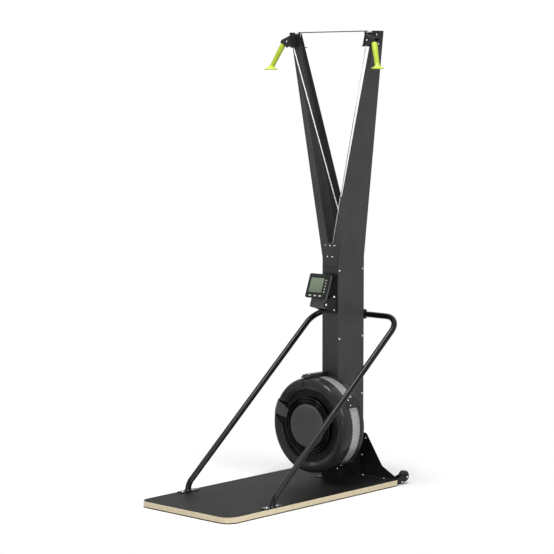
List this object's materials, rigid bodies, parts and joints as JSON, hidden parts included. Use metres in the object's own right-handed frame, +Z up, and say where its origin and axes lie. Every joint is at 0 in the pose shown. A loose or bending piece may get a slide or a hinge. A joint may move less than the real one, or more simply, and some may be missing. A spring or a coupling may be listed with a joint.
{
  "type": "ski trainer machine",
  "caption": "Upright ski trainer: V-shaped column on a plywood board, two green pull handles on cords, round air-resistance fan cage, tilting monitor and rear transport wheels.",
  "frame": {"origin": "on the floor, under the middle of the machine's outer box at rest", "axes": "+Z up, the user stands on the -Y side and faces +Y, +X to the user's right"},
  "size_m": [0.7342, 1.249, 2.1555],
  "materials": {
    "powder_coat": "satin dark grey powder coat",
    "black_coat": "satin black powder coat",
    "black_plastic": "fine-textured black moulding",
    "grey_mesh": "grey perforated steel",
    "steel": "bright steel",
    "plywood": "birch plywood with a black textured film, pale lacquered edge",
    "rubber": "matt black rubber",
    "wheel_tread": "matt black rubber",
    "green_grip": "soft green grip",
    "white_cord": "white braided cord",
    "black_cord": "black braided elastic cord",
    "pale_nylon": "pale nylon",
    "screen": "grey-green display behind a clear window",
    "key_rubber": "pale moulded key",
    "alloy": "cast light alloy"
  },
  "bodies": {
    "frame": {"floor_board": "plywood", "base_mat": "rubber", "leg_right": "powder_coat", "leg_left": "powder_coat", "front_panel": "powder_coat", "rear_panel": "powder_coat", "crotch_plate": "powder_coat", "base_bracket_right": "black_coat", "base_bracket_left": "black_coat", "front_foot_bracket": "black_coat", "support_tube_right": "black_coat", "support_tube_left": "black_coat", "tube_clamp": "black_coat", "wheel_fork_right": "black_coat", "wheel_fork_left": "black_coat", "pulley_housing_right": "black_coat", "pulley_housing_left": "black_coat", "pulley_cover_right": "black_coat", "pulley_cover_left": "black_coat", "drive_cord_right": "white_cord", "drive_cord_left": "white_cord", "return_cord": "black_cord", "shaft_bearing_front": "steel", "shaft_bearing_rear": "steel", "cage_rear_plate": "black_plastic", "mesh_band": "grey_mesh", "cage_front_cover": "black_plastic", "centre_cap": "black_plastic", "monitor_bracket": "black_coat"},
    "flywheel": {"drive_shaft": "steel", "fan_rotor": "alloy"},
    "front_drum": {"cord_drum_front": "black_plastic"},
    "rear_drum": {"cord_drum_rear": "black_plastic"},
    "damper": {"damper_ring": "black_plastic"},
    "monitor": {"monitor_front": "black_plastic", "monitor_back": "black_plastic", "monitor_screen": "screen"},
    "handle_right": {"handle_right": "green_grip", "handle_cord_right": "white_cord"},
    "drive_pulley_right": {"drive_pulley_right": "black_plastic"},
    "return_pulley_right": {"return_pulley_right": "pale_nylon"},
    "guide_pulley_right": {"guide_pulley_right": "pale_nylon"},
    "handle_left": {"handle_left": "green_grip", "handle_cord_left": "white_cord"},
    "drive_pulley_left": {"drive_pulley_left": "black_plastic"},
    "return_pulley_left": {"return_pulley_left": "pale_nylon"},
    "guide_pulley_left": {"guide_pulley_left": "pale_nylon"},
    "menu_key_1": {"menu_key_1": "key_rubber"},
    "menu_key_2": {"menu_key_2": "key_rubber"},
    "menu_key_3": {"menu_key_3": "key_rubber"},
    "menu_key_4": {"menu_key_4": "key_rubber"},
    "menu_key_5": {"menu_key_5": "key_rubber"},
    "wide_key_1": {"wide_key_1": "key_rubber"},
    "wide_key_2": {"wide_key_2": "key_rubber"},
    "wide_key_3": {"wide_key_3": "key_rubber"},
    "transport_wheel_right": {"transport_wheel_right": "wheel_tread"},
    "transport_wheel_left": {"transport_wheel_left": "wheel_tread"}
  },
  "joints": [
    {"name": "flywheel_spin", "type": "hinge", "parent": "frame", "child": "flywheel", "pos_m": [0, 0.2905, 0.298], "axis": [0, 1, 0], "continuous": true},
    {"name": "handle_pull_right", "type": "slide", "parent": "frame", "child": "handle_right", "axis": [0, -0.31, -0.9507], "range_m": [0, 1.4], "stiffness_N_per_m": 12, "springref_m": -0.5},
    {"name": "drive_pulley_turn_right", "type": "hinge", "parent": "frame", "child": "drive_pulley_right", "pos_m": [0.25, 0.348, 2.109], "axis": [0, 1, 0], "continuous": true},
    {"name": "return_pulley_turn_right", "type": "hinge", "parent": "frame", "child": "return_pulley_right", "pos_m": [0.225, 0.3805, 2.14], "axis": [0, 1, 0], "continuous": true},
    {"name": "guide_pulley_turn_right", "type": "hinge", "parent": "frame", "child": "guide_pulley_right", "pos_m": [0.03, 0.4415, 1.138], "axis": [0, 1, 0], "continuous": true},
    {"name": "handle_pull_left", "type": "slide", "parent": "frame", "child": "handle_left", "axis": [0, -0.31, -0.9507], "range_m": [0, 1.4], "stiffness_N_per_m": 12, "springref_m": -0.5},
    {"name": "drive_pulley_turn_left", "type": "hinge", "parent": "frame", "child": "drive_pulley_left", "pos_m": [-0.25, 0.348, 2.109], "axis": [0, 1, 0], "continuous": true},
    {"name": "return_pulley_turn_left", "type": "hinge", "parent": "frame", "child": "return_pulley_left", "pos_m": [-0.225, 0.3805, 2.14], "axis": [0, 1, 0], "continuous": true},
    {"name": "guide_pulley_turn_left", "type": "hinge", "parent": "frame", "child": "guide_pulley_left", "pos_m": [-0.03, 0.4295, 1.138], "axis": [0, 1, 0], "continuous": true},
    {"name": "front_drum_turn", "type": "hinge", "parent": "frame", "child": "front_drum", "pos_m": [0, 0.4025, 0.298], "axis": [0, 1, 0], "continuous": true},
    {"name": "rear_drum_turn", "type": "hinge", "parent": "frame", "child": "rear_drum", "pos_m": [0, 0.4705, 0.298], "axis": [0, 1, 0], "continuous": true},
    {"name": "damper_turn", "type": "hinge", "parent": "frame", "child": "damper", "pos_m": [0, 0.2135, 0.298], "axis": [0, 1, 0], "range_deg": [0, 45]},
    {"name": "monitor_tilt", "type": "hinge", "parent": "frame", "child": "monitor", "pos_m": [0, 0.2805, 0.871], "axis": [1, 0, 0], "range_deg": [-15, 30]},
    {"name": "menu_key_1_press", "type": "slide", "parent": "monitor", "child": "menu_key_1", "axis": [0, 0.9397, -0.342], "range_m": [0, 0.001], "stiffness_N_per_m": 600, "springref_m": -0.001},
    {"name": "menu_key_2_press", "type": "slide", "parent": "monitor", "child": "menu_key_2", "axis": [0, 0.9397, -0.342], "range_m": [0, 0.001], "stiffness_N_per_m": 600, "springref_m": -0.001},
    {"name": "menu_key_3_press", "type": "slide", "parent": "monitor", "child": "menu_key_3", "axis": [0, 0.9397, -0.342], "range_m": [0, 0.001], "stiffness_N_per_m": 600, "springref_m": -0.001},
    {"name": "menu_key_4_press", "type": "slide", "parent": "monitor", "child": "menu_key_4", "axis": [0, 0.9397, -0.342], "range_m": [0, 0.001], "stiffness_N_per_m": 600, "springref_m": -0.001},
    {"name": "menu_key_5_press", "type": "slide", "parent": "monitor", "child": "menu_key_5", "axis": [0, 0.9397, -0.342], "range_m": [0, 0.001], "stiffness_N_per_m": 600, "springref_m": -0.001},
    {"name": "wide_key_1_press", "type": "slide", "parent": "monitor", "child": "wide_key_1", "axis": [0, 0.9397, -0.342], "range_m": [0, 0.001], "stiffness_N_per_m": 600, "springref_m": -0.001},
    {"name": "wide_key_2_press", "type": "slide", "parent": "monitor", "child": "wide_key_2", "axis": [0, 0.9397, -0.342], "range_m": [0, 0.001], "stiffness_N_per_m": 600, "springref_m": -0.001},
    {"name": "wide_key_3_press", "type": "slide", "parent": "monitor", "child": "wide_key_3", "axis": [0, 0.9397, -0.342], "range_m": [0, 0.001], "stiffness_N_per_m": 600, "springref_m": -0.001},
    {"name": "transport_wheel_roll_right", "type": "hinge", "parent": "frame", "child": "transport_wheel_right", "pos_m": [0.266, 0.5975, 0.036], "axis": [1, 0, 0], "continuous": true},
    {"name": "transport_wheel_roll_left", "type": "hinge", "parent": "frame", "child": "transport_wheel_left", "pos_m": [-0.266, 0.5975, 0.036], "axis": [1, 0, 0], "continuous": true}
  ],
  "couplings": [
    {"joint": "drive_pulley_turn_right", "follows": "handle_pull_right", "rad_per_m": 66.667},
    {"joint": "return_pulley_turn_right", "follows": "handle_pull_right", "rad_per_m": 53.571},
    {"joint": "drive_pulley_turn_left", "follows": "handle_pull_left", "rad_per_m": -66.667},
    {"joint": "return_pulley_turn_left", "follows": "handle_pull_left", "rad_per_m": -53.571},
    {"joint": "guide_pulley_turn_left", "follows": "handle_pull_right", "rad_per_m": 68.966},
    {"joint": "front_drum_turn", "follows": "handle_pull_right", "rad_per_m": -35.714},
    {"joint": "guide_pulley_turn_right", "follows": "handle_pull_left", "rad_per_m": -68.966},
    {"joint": "rear_drum_turn", "follows": "handle_pull_left", "rad_per_m": -35.714}
  ]
}
